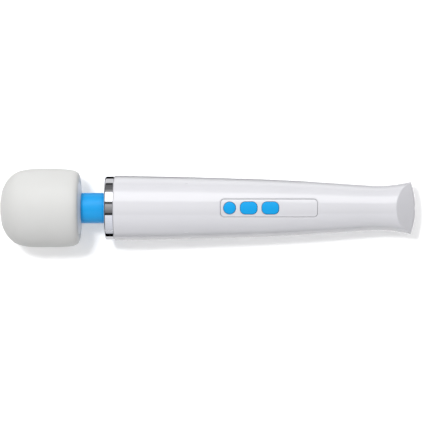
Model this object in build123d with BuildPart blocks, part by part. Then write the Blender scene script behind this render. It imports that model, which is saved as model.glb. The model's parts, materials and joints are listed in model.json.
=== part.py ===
from build123d import *
import math
import os

# Handheld wand massager: a soft round head on a flexible neck, a motor and
# battery in a long two-shell handle, three push buttons and a charging port.
# All lengths in millimetres.  The wand is drawn along X from the tip of the
# head (x = 0) to the tail (x = 330), with the button side up (+Z), and every
# finished piece is then set down the way the wand lies at rest.

# ---------------------------------------------------------------- dimensions
LENGTH = 330.0            # tip of the head to the end of the tail
REST_TILT = 2.677         # slope of the wand lying on its head and its tail, degrees
REST_SHIFT = (-164.694, 0.0, 33.287)

# handle outline: station along X, half width (Y), half height (Z)
HANDLE = [
    (88.6, 25.75, 25.75),
    (95.0, 25.70, 25.70),
    (127.0, 25.15, 25.05),
    (159.0, 24.45, 24.20),
    (191.0, 23.55, 23.15),
    (223.0, 22.40, 21.80),
    (255.0, 20.60, 19.95),
    (274.0, 19.35, 18.70),
    (290.0, 18.30, 17.55),
    (303.0, 17.90, 16.95),
    (314.0, 18.75, 17.35),
    (323.0, 20.20, 17.90),
    (334.0, 22.40, 18.60),
]
HANDLE_FRONT = 90.5
WALL = 2.2

# tail: a ridged end swept on a plan arc
TAIL_ARC = 62.9           # radius of the ridge line seen from above
TAIL_CENTRE = LENGTH - TAIL_ARC
RIDGE_R = 6.8             # roundness of the ridge
TAIL_SLOPE = 1.18         # run of the end faces per unit of height
PORT_R = 5.0              # hole for the charging port and its bezel

# head
HEAD_OUTER = [
    (0.0, 0.0), (0.18, 4.95), (0.45, 8.5), (1.05, 12.05), (1.95, 15.6),
    (3.55, 19.15), (5.75, 22.6), (8.60, 25.65), (12.0, 28.05), (16.5, 29.8),
    (22.0, 30.85), (28.0, 31.20),
]
HEAD_INNER = [
    (3.6, 0.0), (3.9, 6.0), (5.2, 12.5), (8.6, 19.0), (13.5, 23.6), (20.0, 26.4),
    (28.0, 27.25),
]
HEAD_REAR = 62.9
PLATE_R = 21.0            # hard plate behind the head
PLATE_EDGE = 62.6         # its rim
PLATE_FACE = 64.2         # its crowned face, where the neck begins

# neck
NECK_R = 12.2
NECK_BORE = 9.9
NECK_FRONT = 64.25
NECK_SPLIT = 72.8
NECK_REAR = 85.8
YAW_X = 68.2
PITCH_X = 77.6

# ring
RING_FRONT = 83.3
RING_R = 25.1

# bearings, 22 x 8 x 7
BRG_OUT = 11.0
BRG_BORE = 4.02
BRG_W = 7.0
BALL_R = 1.98
BALL_PITCH = 7.5
BALLS = 7
FRONT_BRG = 12.0
REAR_BRG = 50.4

# buttons: name -> (x, length, width, corner)
BUTTONS = {
    "power": (181.9, 9.5, 9.5, 4.74),
    "intensity": (196.9, 13.3, 9.7, 3.9),
    "pattern": (213.9, 13.3, 9.7, 3.9),
}
BUTTON_PROUD = 0.8
BUTTON_TRAVEL = 0.6
PANEL_X = 212.9
PANEL_L = 76.2
PANEL_W = 13.9
PANEL_CORNER = 3.0

# board
PCB_TOP = 12.0
PCB_T = 1.6
PCB_X0, PCB_X1, PCB_HALF = 172.0, 258.0, 9.0

# battery cells, 18.4 x 65
CELL_R = 9.2
CELL_Z = -5.0
CELL_X = (152.0, 219.0)
CELL_L = 65.0

# motor
MOTOR_R = 18.0
MOTOR_X0, MOTOR_X1 = 93.0, 141.0
SHAFT_R = 2.5

SCREWS = [(148.0, 16.0), (148.0, -16.0), (291.0, 9.5), (291.0, -9.5)]

os.makedirs("parts", exist_ok=True)

REST = Location(REST_SHIFT, (0, REST_TILT, 0))
BASE = (Align.CENTER, Align.CENTER, Align.MIN)


def along(x):
    """A placement on the wand's axis whose own Z points to the tail."""
    return Location((x, 0, 0), (0, 90, 0))


def half_height(x):
    """Height of the handle's top line above its axis."""
    for (x0, a0, b0), (x1, a1, b1) in zip(HANDLE, HANDLE[1:]):
        if x0 <= x <= x1:
            return b0 + (b1 - b0) * (x - x0) / (x1 - x0)
    raise ValueError(x)


def handle_form(offset):
    """The handle's smooth outer form, grown or shrunk by offset."""
    with BuildPart() as form:
        for x, half_w, half_h in HANDLE:
            with BuildSketch(Plane.YZ.offset(x)):
                Ellipse(half_w + offset, half_h + offset)
        loft()
    return form.part


def tail_cutter(offset):
    """What is cut away round the ridged end of the tail."""
    arc = TAIL_ARC + offset
    ridge = RIDGE_R + offset
    centre = arc - ridge
    lean = math.atan(TAIL_SLOPE)
    rise, reach = ridge * math.sin(lean), centre + ridge * math.cos(lean)
    top = 26.0
    inner = reach - (top - rise) * TAIL_SLOPE
    with BuildPart() as disc:
        with BuildSketch(Plane.XZ):
            with BuildLine():
                Line((0, -top), (inner, -top))
                Line((inner, -top), (reach, -rise))
                ThreePointArc((reach, -rise), (centre + ridge, 0), (reach, rise))
                Line((reach, rise), (inner, top))
                Line((inner, top), (0, top))
                Line((0, top), (0, -top))
            make_face()
        revolve(axis=Axis.Z)
    with BuildPart() as block:
        with Locations((300.0, 0, 0)):
            Box(45, 60, 50, align=(Align.MIN, Align.CENTER, Align.CENTER))
        add(disc.part.moved(Location((TAIL_CENTRE, 0, 0))), mode=Mode.SUBTRACT)
    return block.part


def save(name, builder):
    """Set the piece down in the rest position and write it."""
    builder.part.label = name
    placed = builder.part.moved(REST)
    placed.label = name
    export_step(placed, "parts/" + name + ".step")


FORM = handle_form(0)
FORM_IN = handle_form(-WALL)
CUTTER = tail_cutter(0)

# ---------------------------------------------------------------------- head
with BuildPart() as head_cover:
    with BuildSketch(Plane.XZ):
        with BuildLine():
            Spline(HEAD_OUTER, tangents=[(0, 1), (1, 0)])
            Line((28.0, 31.20), (42.0, 31.20))
            Spline([(42.0, 31.20), (50.0, 30.98), (54.5, 30.62), (58.0, 30.0), (60.2, 29.1), (61.7, 27.8),
                    (62.55, 26.2), (HEAD_REAR, 24.3)], tangents=[(1, 0), (0.05, -1)])
            Line((HEAD_REAR, 24.3), (62.6, 22.7))
            Line((62.6, 22.7), (61.9, 21.3))
            Line((61.9, 21.3), (60.2, 21.3))
            Line((60.2, 21.3), (60.2, 27.25))
            Line((60.2, 27.25), (28.0, 27.25))
            Spline(HEAD_INNER, tangents=[(0, 1), (1, 0)])
            Line((3.6, 0), (0, 0))
        make_face()
    revolve(axis=Axis.X)
save("head_cover", head_cover)

with BuildPart() as head_core:
    with BuildSketch(Plane.XZ):
        with BuildLine():
            Line((3.65, 0), (3.65, 0.5))
            Spline([(3.65, 0.5), (3.98, 6.0), (5.3, 12.45), (8.7, 18.9), (13.6, 23.5), (20.05, 26.3),
                    (28.0, 27.2)], tangents=[(0, 1), (1, 0)])
            Polyline((28.0, 27.2), (60.15, 27.2), (60.15, 24.8), (21.5, 24.8), (19.0, 21.5), (12.0, 15.5),
                     (12.0, 13.6), (20.2, 13.6), (20.2, BRG_OUT + 0.03), (FRONT_BRG, BRG_OUT + 0.03),
                     (FRONT_BRG, 8.0), (9.5, 8.0), (9.5, 0), (3.65, 0))
        make_face()
    revolve(axis=Axis.X)
    # radial screw holes near the open end
    with Locations(*[Location((58.6, 0, 0), (a, 0, 0)) for a in (45, 135, 225, 315)]):
        Cylinder(1.08, 30, align=BASE, mode=Mode.SUBTRACT)
    with Locations(*[Location((58.6, 0, 0), (a, 0, 0)) * Location((0, 0, 25.55)) for a in (45, 135, 225, 315)]):
        Cylinder(1.45, 3, align=BASE, mode=Mode.SUBTRACT)
save("head_core", head_core)

with BuildPart() as head_rear_plate:
    with BuildSketch(Plane.XZ):
        with BuildLine():
            Polyline((PLATE_EDGE - 0.6, PLATE_R), (60.1, PLATE_R), (60.1, 24.7), (57.1, 24.7), (57.1, 14.0),
                     (50.0, 14.0), (50.0, BRG_OUT + 0.03), (57.45, BRG_OUT + 0.03), (57.45, 7.6), (66.6, 7.6),
                     (66.6, 9.6), (PLATE_FACE, 9.6), (PLATE_FACE, 12.6))
            ThreePointArc((PLATE_FACE, 12.6), (PLATE_FACE - 0.6, 16.8), (PLATE_EDGE, PLATE_R - 0.6))
            RadiusArc((PLATE_EDGE, PLATE_R - 0.6), (PLATE_EDGE - 0.6, PLATE_R), -0.6)
        make_face()
    revolve(axis=Axis.X)
    with Locations(*[Location((58.6, 0, 0), (a, 0, 0)) * Location((0, 0, 19.0)) for a in (45, 135, 225, 315)]):
        Cylinder(1.02, 8, align=BASE, mode=Mode.SUBTRACT)
save("head_rear_plate", head_rear_plate)

with BuildPart() as head_screws:
    with Locations(*[Location((58.6, 0, 0), (a, 0, 0)) * Location((0, 0, 19.5)) for a in (45, 135, 225, 315)]):
        Cylinder(1.0, 6.1, align=BASE)
    with Locations(*[Location((58.6, 0, 0), (a, 0, 0)) * Location((0, 0, 25.58)) for a in (45, 135, 225, 315)]):
        Cylinder(1.38, 1.45, align=BASE)
save("head_screws", head_screws)

# ------------------------------------------------------------------ bearings
for label, x in (("front", FRONT_BRG), ("rear", REAR_BRG)):
    with BuildPart() as outer_race:
        with Locations(along(x)):
            Cylinder(BRG_OUT, BRG_W, align=BASE)
            Cylinder(9.1, BRG_W, align=BASE, mode=Mode.SUBTRACT)
        with Locations(along(x + BRG_W / 2)):
            Torus(BALL_PITCH, BALL_R + 0.06, mode=Mode.SUBTRACT)
        # chamfered outer corners
        chamfer(outer_race.edges().filter_by(GeomType.CIRCLE).filter_by(lambda e: abs(e.radius - BRG_OUT) < 0.01), 0.3)
    save(label + "_bearing_outer_race", outer_race)

    with BuildPart() as inner_race:
        with Locations(along(x)):
            Cylinder(5.9, BRG_W, align=BASE)
            Cylinder(BRG_BORE, BRG_W, align=BASE, mode=Mode.SUBTRACT)
        with Locations(along(x + BRG_W / 2)):
            Torus(BALL_PITCH, BALL_R + 0.06, mode=Mode.SUBTRACT)
    save(label + "_bearing_inner_race", inner_race)

    with BuildPart() as balls:
        with Locations(along(x + BRG_W / 2)):
            with PolarLocations(BALL_PITCH, BALLS):
                Sphere(BALL_R)
    save(label + "_bearing_balls", balls)

# --------------------------------------------------------- eccentric and shaft
with BuildPart() as eccentric_shaft:
    with Locations(along(11.0)):
        Cylinder(4.0, 50.0, align=BASE)
    with Locations(along(61.0)):
        Cylinder(2.45, 8.0, align=BASE)
    chamfer(eccentric_shaft.faces().sort_by(Axis.X)[0].edges(), 0.5)
save("eccentric_shaft", eccentric_shaft)

with BuildPart() as eccentric_weight:
    with BuildSketch(Plane.YZ.offset(24.0)):
        with BuildLine():
            ThreePointArc((-16.0, 0), (0, -16.0), (16.0, 0))
            Line((16.0, 0), (-16.0, 0))
        make_face()
        Circle(7.5)
        Circle(4.02, mode=Mode.SUBTRACT)
    extrude(amount=22.0)
save("eccentric_weight", eccentric_weight)

# ---------------------------------------------------------------------- neck
with BuildPart() as neck_sleeve_front:
    with Locations(along(NECK_FRONT)):
        Cylinder(NECK_R, NECK_SPLIT - 0.05 - NECK_FRONT, align=BASE)
        Cylinder(NECK_BORE, NECK_SPLIT - 0.05 - NECK_FRONT, align=BASE, mode=Mode.SUBTRACT)
save("neck_sleeve_front", neck_sleeve_front)

with BuildPart() as neck_sleeve_rear:
    with Locations(along(NECK_SPLIT + 0.05)):
        Cylinder(NECK_R, NECK_REAR - NECK_SPLIT - 0.05, align=BASE)
        Cylinder(NECK_BORE, NECK_REAR - NECK_SPLIT - 0.05, align=BASE, mode=Mode.SUBTRACT)
save("neck_sleeve_rear", neck_sleeve_rear)

with BuildPart() as neck_hoop:
    with Locations(along(69.8)):
        Cylinder(9.6, 6.0, align=BASE)
        Cylinder(8.2, 6.0, align=BASE, mode=Mode.SUBTRACT)
    fillet(neck_hoop.edges().filter_by(GeomType.CIRCLE), 0.4)
save("neck_hoop", neck_hoop)

with BuildPart() as flex_coupling:
    with Locations(along(62.4)):
        Cylinder(4.2, 21.8, align=BASE)
        Cylinder(2.5, 21.8, align=BASE, mode=Mode.SUBTRACT)
save("flex_coupling", flex_coupling)

# ------------------------------------------------------------ front of handle
with BuildPart() as chrome_ring:
    with BuildSketch(Plane.XZ):
        with BuildLine():
            Line((RING_FRONT, 21.0), (RING_FRONT, RING_R - 1.2))
            RadiusArc((RING_FRONT, RING_R - 1.2), (RING_FRONT + 1.2, RING_R), 1.2)
            Polyline((RING_FRONT + 1.2, RING_R), (HANDLE_FRONT - 0.25, RING_R), (HANDLE_FRONT, RING_R - 0.25),
                     (HANDLE_FRONT, 22.6), (84.1, 22.6), (84.1, 21.0), (RING_FRONT, 21.0))
        make_face()
    revolve(axis=Axis.X)
save("chrome_ring", chrome_ring)

with BuildPart() as nose_plate:
    with BuildSketch(Plane.XZ):
        with BuildLine():
            Polyline((80.1, 8.2), (80.1, 9.6), (86.1, 9.6), (86.1, 12.5), (84.55, 12.5), (84.15, 12.9), (84.15, 22.5),
                     (85.55, 22.5), (85.55, 14.5), (87.6, 14.5), (87.6, 8.2), close=True)
        make_face()
    revolve(axis=Axis.X)
save("nose_plate", nose_plate)

# ----------------------------------------------------------- handle and posts
with BuildPart() as screw_posts:
    with Locations(*[(x, y, 0) for x, y in SCREWS]):
        Cylinder(3.6, 60)
    add(handle_form(-0.6), mode=Mode.INTERSECT)

with BuildPart() as screw_path:
    with Locations(*[(x, y, 0) for x, y in SCREWS]):
        Cylinder(1.3, 22, align=(Align.CENTER, Align.CENTER, Align.CENTER))
    with Locations(*[(x, y, -10.0) for x, y in SCREWS]):
        Cylinder(2.85, 30, align=(Align.CENTER, Align.CENTER, Align.MAX))

with BuildPart() as front_collar:
    with BuildSketch(Plane.XZ):
        with BuildLine():
            Polyline((85.7, 20.8), (85.7, 22.5), (HANDLE_FRONT, 22.5), (HANDLE_FRONT, 24.6), (92.5, 24.6),
                     (92.5, 20.8), close=True)
        make_face()
    revolve(axis=Axis.X)

with BuildPart() as cavity:
    add(FORM_IN)
    with Locations((80.0, 0, 0)):
        Box(232.0, 60, 60, align=(Align.MIN, Align.CENTER, Align.CENTER), mode=Mode.INTERSECT)
    with Locations((308.0, 0, 0)):
        Box(13.0, 12.6, 11.6, align=(Align.MIN, Align.CENTER, Align.CENTER))
    with Locations(along(320.0)):
        Cylinder(PORT_R, 14.0, align=BASE)

with BuildPart() as housing:
    add(FORM)
    with Locations((HANDLE_FRONT, 0, 0)):
        Box(300.0, 60, 60, align=(Align.MIN, Align.CENTER, Align.CENTER), mode=Mode.INTERSECT)
    add(CUTTER, mode=Mode.SUBTRACT)
    add(cavity.part, mode=Mode.SUBTRACT)
    add(screw_posts.part)
    add(screw_path.part, mode=Mode.SUBTRACT)
    add(front_collar.part)
    # window for the button panel, in the top half only
    with BuildSketch(Plane.XY.offset(10.0)):
        with Locations((PANEL_X, 0)):
            RectangleRounded(PANEL_L + 0.4, PANEL_W + 0.4, PANEL_CORNER + 0.2)
    extrude(amount=30.0, mode=Mode.SUBTRACT)

with BuildPart() as upper_shell:
    add(housing.part)
    split(bisect_by=Plane.XY, keep=Keep.TOP)
save("upper_shell", upper_shell)

with BuildPart() as lower_shell:
    add(housing.part)
    split(bisect_by=Plane.XY, keep=Keep.BOTTOM)
save("lower_shell", lower_shell)

with BuildPart() as housing_screws:
    with Locations(*[(x, y, -10.1) for x, y in SCREWS]):
        Cylinder(1.25, 17.0, align=BASE)
    with Locations(*[(x, y, -10.05) for x, y in SCREWS]):
        Cylinder(2.6, 2.2, align=(Align.CENTER, Align.CENTER, Align.MAX))
        # cross recess
        with Locations((0, 0, -2.2)):
            Box(2.6, 0.6, 1.6, mode=Mode.SUBTRACT)
            Box(0.6, 2.6, 1.6, mode=Mode.SUBTRACT)
save("housing_screws", housing_screws)

# ------------------------------------------------------------- panel, buttons
with BuildPart() as button_panel:
    with BuildSketch(Plane.XY.offset(5.0)):
        with Locations((PANEL_X, 0)):
            RectangleRounded(PANEL_L, PANEL_W, PANEL_CORNER)
    extrude(amount=30.0)
    add(FORM, mode=Mode.INTERSECT)
    add(FORM_IN, mode=Mode.SUBTRACT)

with BuildPart() as panel_flange:
    with BuildSketch(Plane.XY.offset(5.0)):
        with Locations((PANEL_X, 0)):
            RectangleRounded(PANEL_L + 4.0, PANEL_W + 3.4, PANEL_CORNER + 1.5)
    extrude(amount=30.0)
    add(handle_form(-WALL - 0.03), mode=Mode.INTERSECT)
    add(handle_form(-WALL - 0.9), mode=Mode.SUBTRACT)

with BuildPart() as panel_bridge:
    with BuildSketch(Plane.XY.offset(5.0)):
        with Locations((PANEL_X, 0)):
            RectangleRounded(PANEL_L, PANEL_W, PANEL_CORNER)
    extrude(amount=30.0)
    add(handle_form(-WALL + 0.5), mode=Mode.INTERSECT)
    add(handle_form(-WALL - 0.5), mode=Mode.SUBTRACT)

with BuildPart() as button_panel_whole:
    add(button_panel.part)
    add(panel_bridge.part)
    add(panel_flange.part)
    for x, length, width, corner in BUTTONS.values():
        with BuildSketch(Plane.XY.offset(5.0)):
            with Locations((x, 0)):
                RectangleRounded(length + 0.6, width + 0.6, corner + 0.3)
        extrude(amount=30.0, mode=Mode.SUBTRACT)
save("button_panel", button_panel_whole)

BUTTON_FORM = handle_form(BUTTON_PROUD)
for name, (x, length, width, corner) in BUTTONS.items():
    skirt = half_height(x) - 5.35
    with BuildPart() as cap:
        with BuildSketch(Plane.XY.offset(skirt + 0.1)):
            with Locations((x, 0)):
                RectangleRounded(length, width, corner)
        extrude(amount=30.0)
        add(BUTTON_FORM, mode=Mode.INTERSECT)
        with BuildSketch(Plane.XY.offset(skirt)):
            with Locations((x, 0)):
                RectangleRounded(length + 1.8, width + 1.8, corner + 0.9)
        extrude(amount=0.75)
        with Locations((x, 0, PCB_TOP + 4.25)):
            Cylinder(1.7, skirt + 0.1 - PCB_TOP - 4.25, align=BASE)
    save(name + "_button", cap)

    with BuildPart() as plunger:
        with Locations((x, 0, PCB_TOP + 2.7)):
            Cylinder(1.7, 1.5, align=BASE)
        fillet(plunger.faces().sort_by(Axis.Z)[-1].edges(), 0.3)
    save(name + "_switch_plunger", plunger)

with BuildPart() as switch_bases:
    with Locations(*[(x, 0, PCB_TOP) for x, _, _, _ in BUTTONS.values()]):
        Box(6.0, 6.0, 3.5, align=BASE)
        with Locations((0, 0, 1.9)):
            Cylinder(1.78, 3.0, align=BASE, mode=Mode.SUBTRACT)
save("switch_bases", switch_bases)

# ----------------------------------------------------------------- electronics
STANDOFFS = [(176.0, 6.5), (176.0, -6.5), (254.0, 6.5), (254.0, -6.5)]
with BuildPart() as main_board:
    with Locations(((PCB_X0 + PCB_X1) / 2, 0, PCB_TOP)):
        Box(PCB_X1 - PCB_X0, 2 * PCB_HALF, PCB_T, align=(Align.CENTER, Align.CENTER, Align.MAX))
    fillet(main_board.edges().filter_by(Axis.Z), 1.2)
    with Locations(*[(x, y, PCB_TOP) for x, y in STANDOFFS]):
        Cylinder(1.1, 10, mode=Mode.SUBTRACT)
save("main_board", main_board)

with BuildPart() as board_chips:
    with Locations((203.0, 0, PCB_TOP - PCB_T)):
        Box(9.0, 9.0, 1.2, align=(Align.CENTER, Align.CENTER, Align.MAX))
    with Locations((226.0, 0, PCB_TOP - PCB_T)):
        Box(5.0, 6.0, 1.6, align=(Align.CENTER, Align.CENTER, Align.MAX))
    with Locations((240.0, 0, PCB_TOP - PCB_T)):
        Box(7.0, 7.0, 2.4, align=(Align.CENTER, Align.CENTER, Align.MAX))
save("board_chips", board_chips)

with BuildPart() as status_lamps:
    with Locations(*[(x, 0, PCB_TOP) for x in (229.0, 234.0, 239.0, 244.0)]):
        Box(1.6, 1.2, 0.7, align=BASE)
save("status_lamps", status_lamps)

with BuildPart() as light_guide:
    with Locations((236.5, 0, PCB_TOP + 1.0)):
        Box(20.0, 4.0, 2.6, align=BASE)
    chamfer(light_guide.edges().filter_by(Axis.X).group_by(Axis.Z)[-1], 0.6)
save("light_guide", light_guide)

with BuildPart() as board_tray:
    with Locations((217.5, 0, 5.2)):
        Box(93.0, 22.0, 1.8, align=BASE)
    fillet(board_tray.edges().filter_by(Axis.Z), 3.0)
    with Locations(*[(x, y, 6.9) for x, y in STANDOFFS]):
        Cylinder(2.2, PCB_TOP - PCB_T - 6.9, align=BASE)
        Cylinder(1.02, PCB_TOP - PCB_T - 6.9 + 0.1, align=BASE, mode=Mode.SUBTRACT)
save("board_tray", board_tray)

with BuildPart() as board_screws:
    with Locations(*[(x, y, 7.4) for x, y in STANDOFFS]):
        Cylinder(0.98, PCB_TOP - 7.4 + 0.1, align=BASE)
    with Locations(*[(x, y, PCB_TOP + 0.02) for x, y in STANDOFFS]):
        Cylinder(1.8, 1.2, align=BASE)
save("board_screws", board_screws)

with BuildPart() as battery_cells:
    for x in CELL_X:
        with Locations(Location((x, 0, CELL_Z), (0, 90, 0))):
            Cylinder(CELL_R, CELL_L - 1.0, align=BASE)
        with Locations(Location((x + CELL_L - 1.0, 0, CELL_Z), (0, 90, 0))):
            Cylinder(4.0, 0.9, align=BASE)
save("battery_cells", battery_cells)

with BuildPart() as battery_wrap:
    with Locations(Location((CELL_X[0] + 0.5, 0, CELL_Z), (0, 90, 0))):
        Cylinder(CELL_R + 0.45, 132.0, align=BASE)
        Cylinder(CELL_R + 0.05, 132.0, align=BASE, mode=Mode.SUBTRACT)
save("battery_wrap", battery_wrap)

# ----------------------------------------------------------------------- motor
with BuildPart() as motor_can:
    with BuildSketch(Plane.XZ):
        with BuildLine():
            Polyline((90.5, 4.05), (90.5, 6.0), (MOTOR_X0, 6.0), (MOTOR_X0, MOTOR_R - 0.8), (MOTOR_X0 + 0.8, MOTOR_R),
                     (MOTOR_X1, MOTOR_R), (MOTOR_X1, 16.6), (MOTOR_X0 + 1.5, 16.6), (MOTOR_X0 + 1.5, 4.05), close=True)
        make_face()
    revolve(axis=Axis.X)
save("motor_can", motor_can)

with BuildPart() as motor_end_cap:
    with BuildSketch(Plane.XZ):
        with BuildLine():
            Polyline((MOTOR_X1 + 0.02, 4.05), (MOTOR_X1 + 0.02, MOTOR_R), (MOTOR_X1 + 2.2, MOTOR_R),
                     (MOTOR_X1 + 3.0, MOTOR_R - 0.8), (MOTOR_X1 + 3.0, 4.05), close=True)
        make_face()
    revolve(axis=Axis.X)
save("motor_end_cap", motor_end_cap)

for label, x0 in (("front", 90.5), ("rear", MOTOR_X1 + 0.02)):
    with BuildPart() as bushing:
        with Locations(along(x0)):
            Cylinder(4.02, 2.98, align=BASE)
            Cylinder(SHAFT_R + 0.04, 2.98, align=BASE, mode=Mode.SUBTRACT)
    save("motor_" + label + "_bushing", bushing)

with BuildPart() as motor_magnets:
    with BuildSketch(Plane.YZ.offset(100.0)):
        Circle(16.5)
        Circle(14.4, mode=Mode.SUBTRACT)
        with Locations((0, 0)):
            Rectangle(8.0, 40.0, mode=Mode.SUBTRACT)
    extrude(amount=30.0)
save("motor_magnets", motor_magnets)

with BuildPart() as motor_armature:
    with BuildSketch(Plane.YZ.offset(101.0)):
        Circle(13.9)
        with PolarLocations(12.4, 5, start_angle=90):
            Rectangle(5.0, 2.2, mode=Mode.SUBTRACT)
        with PolarLocations(8.6, 5, start_angle=90):
            Circle(2.9, mode=Mode.SUBTRACT)
        Circle(SHAFT_R + 0.02, mode=Mode.SUBTRACT)
    extrude(amount=28.0)
save("motor_armature", motor_armature)

with BuildPart() as commutator:
    with BuildSketch(Plane.YZ.offset(132.0)):
        Circle(5.0)
        with PolarLocations(4.8, 5, start_angle=90):
            Rectangle(1.2, 0.4, mode=Mode.SUBTRACT)
        Circle(SHAFT_R + 0.02, mode=Mode.SUBTRACT)
    extrude(amount=7.0)
save("commutator", commutator)

with BuildPart() as motor_brushes:
    for side in (1, -1):
        with Locations((135.5, side * 7.1, 0)):
            Box(3.6, 4.0, 3.0)
save("motor_brushes", motor_brushes)

with BuildPart() as motor_shaft:
    with Locations(along(78.0)):
        Cylinder(2.45, 8.0, align=BASE)
    with Locations(along(86.0)):
        Cylinder(SHAFT_R, 59.2, align=BASE)
save("motor_shaft", motor_shaft)

for label, x0, outer in (("front", 96.0, 23.2), ("rear", 132.0, 22.45)):
    with BuildPart() as mount_ring:
        with Locations(along(x0)):
            Cylinder(outer, 6.0, align=BASE)
            Cylinder(MOTOR_R + 0.03, 6.0, align=BASE, mode=Mode.SUBTRACT)
        fillet(mount_ring.edges().filter_by(GeomType.CIRCLE).filter_by(lambda e: e.radius > 20), 0.8)
    save("motor_" + label + "_mount", mount_ring)

# --------------------------------------------------------------- charging port
with BuildPart() as port_bezel:
    with Locations(along(320.5)):
        Cylinder(PORT_R - 0.03, 11.0, align=BASE)
        Cylinder(2.9, 11.0, align=BASE, mode=Mode.SUBTRACT)
    add(tail_cutter(-0.05), mode=Mode.SUBTRACT)
save("port_bezel", port_bezel)

with BuildPart() as charging_jack:
    with Locations((309.0, 0, 0)):
        Box(11.4, 11.6, 10.6, align=(Align.MIN, Align.CENTER, Align.CENTER))
    with Locations(along(311.0)):
        Cylinder(1.85, 10.0, align=BASE, mode=Mode.SUBTRACT)
save("charging_jack", charging_jack)

with BuildPart() as jack_pin:
    with Locations(along(311.0)):
        Cylinder(0.6, 7.4, align=BASE)
    fillet(jack_pin.faces().sort_by(Axis.X)[-1].edges(), 0.25)
save("jack_pin", jack_pin)

# ----------------------------------------------------------------- inner leads
LEADS = {
    "motor_leads": ([(144.05, 8.0, 6.0), (150.0, 8.0, 6.6), (158.0, 7.2, 9.8), (165.0, 6.0, 11.2),
                     (171.95, 5.6, 11.2)], 0.75, [4.0, 8.0, 8.0]),
    "battery_leads": ([(151.95, 2.4, -5.0), (147.9, 2.4, -5.0), (147.9, 2.4, 9.2), (160.0, 2.4, 11.2),
                       (171.95, 2.4, 11.2)], 0.75, [2.2, 3.0, 8.0]),
    "jack_leads": ([(308.9, 3.0, 0.0), (300.0, 3.0, 1.4), (289.0, 3.0, 7.4), (274.0, 3.0, 10.4),
                    (258.05, 3.0, 11.2)], 0.75, [7.0, 9.0, 14.0]),
}
for name, (points, radius, bends) in LEADS.items():
    with BuildPart() as leads:
        for side in (1, -1):
            route = [(x, side * y, z) for x, y, z in points]
            with BuildLine() as path:
                FilletPolyline(*route, radius=bends)
            with BuildSketch(Plane(origin=path.line @ 0, z_dir=path.line % 0)):
                Circle(radius)
            sweep(path=path.line)
    save(name, leads)
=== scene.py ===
import bpy
import json
import math
import numpy as np
from mathutils import Matrix, Vector
from mathutils.geometry import delaunay_2d_cdt


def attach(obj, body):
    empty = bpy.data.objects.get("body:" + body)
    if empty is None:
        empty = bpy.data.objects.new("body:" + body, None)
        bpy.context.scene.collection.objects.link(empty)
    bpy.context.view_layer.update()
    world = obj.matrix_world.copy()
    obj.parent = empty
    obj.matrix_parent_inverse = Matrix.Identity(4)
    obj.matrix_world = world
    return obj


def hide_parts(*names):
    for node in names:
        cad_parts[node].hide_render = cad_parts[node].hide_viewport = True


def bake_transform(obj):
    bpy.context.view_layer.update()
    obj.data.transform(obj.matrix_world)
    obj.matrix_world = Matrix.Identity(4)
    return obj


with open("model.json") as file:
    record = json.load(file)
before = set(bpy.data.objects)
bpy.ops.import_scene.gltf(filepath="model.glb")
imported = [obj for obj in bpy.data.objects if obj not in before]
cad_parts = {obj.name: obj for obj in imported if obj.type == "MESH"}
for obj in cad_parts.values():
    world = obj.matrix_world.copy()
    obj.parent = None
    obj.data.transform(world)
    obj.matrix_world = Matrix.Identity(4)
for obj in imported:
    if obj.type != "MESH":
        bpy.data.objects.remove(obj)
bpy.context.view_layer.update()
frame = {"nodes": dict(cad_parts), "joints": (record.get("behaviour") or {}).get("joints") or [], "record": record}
nodes = frame["nodes"]
joints = {j["name"]: j for j in frame["joints"]}

# --------------------------------------------------------------- wand's own frame
# Lengths in mm along the wand: x from the tip of the head, y across, z towards the buttons.
EX = np.array(joints["motor_spin"]["axis"], float); EX /= np.linalg.norm(EX)
EZ = np.array(joints["neck_yaw"]["axis"], float); EZ /= np.linalg.norm(EZ)
EY = np.cross(EZ, EX)
M = np.stack([EX, EY, EZ])
ORIGIN = np.array(joints["neck_pitch"]["pos_m"], float) - 0.0776 * EX


def row(p):
    """Wand mm to the row frame in metres."""
    return ORIGIN + (np.asarray(p, float) / 1000.0) @ M


def row_dir(d):
    return np.asarray(d, float) @ M


# ------------------------------------------------------------------ handle's form
STATIONS = np.array([
    (88.6, 25.75, 25.75), (95.0, 25.70, 25.70), (127.0, 25.15, 25.05), (159.0, 24.45, 24.20), (191.0, 23.55, 23.15),
    (223.0, 22.40, 21.80), (255.0, 20.60, 19.95), (274.0, 19.35, 18.70), (290.0, 18.30, 17.55), (303.0, 17.90, 16.95),
    (314.0, 18.75, 17.35), (323.0, 20.20, 17.90), (334.0, 22.40, 18.60)])
LENGTH = 330.0
FRONT = 90.5
WALL = 2.2
TAIL_ARC, RIDGE_R = 62.9, 6.8
TAIL_C = LENGTH - TAIL_ARC
LEAN = math.atan(1.18)          # slope of the tail's end faces


def cubic(xs, ys):
    """Natural cubic spline: gives (value, slope) functions."""
    n = len(xs); h = np.diff(xs)
    a = np.zeros((n, n)); r = np.zeros(n); a[0, 0] = a[-1, -1] = 1
    for i in range(1, n - 1):
        a[i, i - 1], a[i, i], a[i, i + 1] = h[i - 1], 2 * (h[i - 1] + h[i]), h[i]
        r[i] = 6 * ((ys[i + 1] - ys[i]) / h[i] - (ys[i] - ys[i - 1]) / h[i - 1])
    m = np.linalg.solve(a, r)

    def f(x):
        x = np.asarray(x, float); k = np.clip(np.searchsorted(xs, x) - 1, 0, n - 2)
        d0, d1 = x - xs[k], xs[k + 1] - x
        v = (m[k] * d1 ** 3 + m[k + 1] * d0 ** 3) / (6 * h[k]) + (ys[k] / h[k] - m[k] * h[k] / 6) * d1 + (ys[k + 1] / h[k] - m[k + 1] * h[k] / 6) * d0
        s = (-m[k] * d1 ** 2 + m[k + 1] * d0 ** 2) / (2 * h[k]) - (ys[k] / h[k] - m[k] * h[k] / 6) + (ys[k + 1] / h[k] - m[k + 1] * h[k] / 6)
        return v, s
    return f


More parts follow.
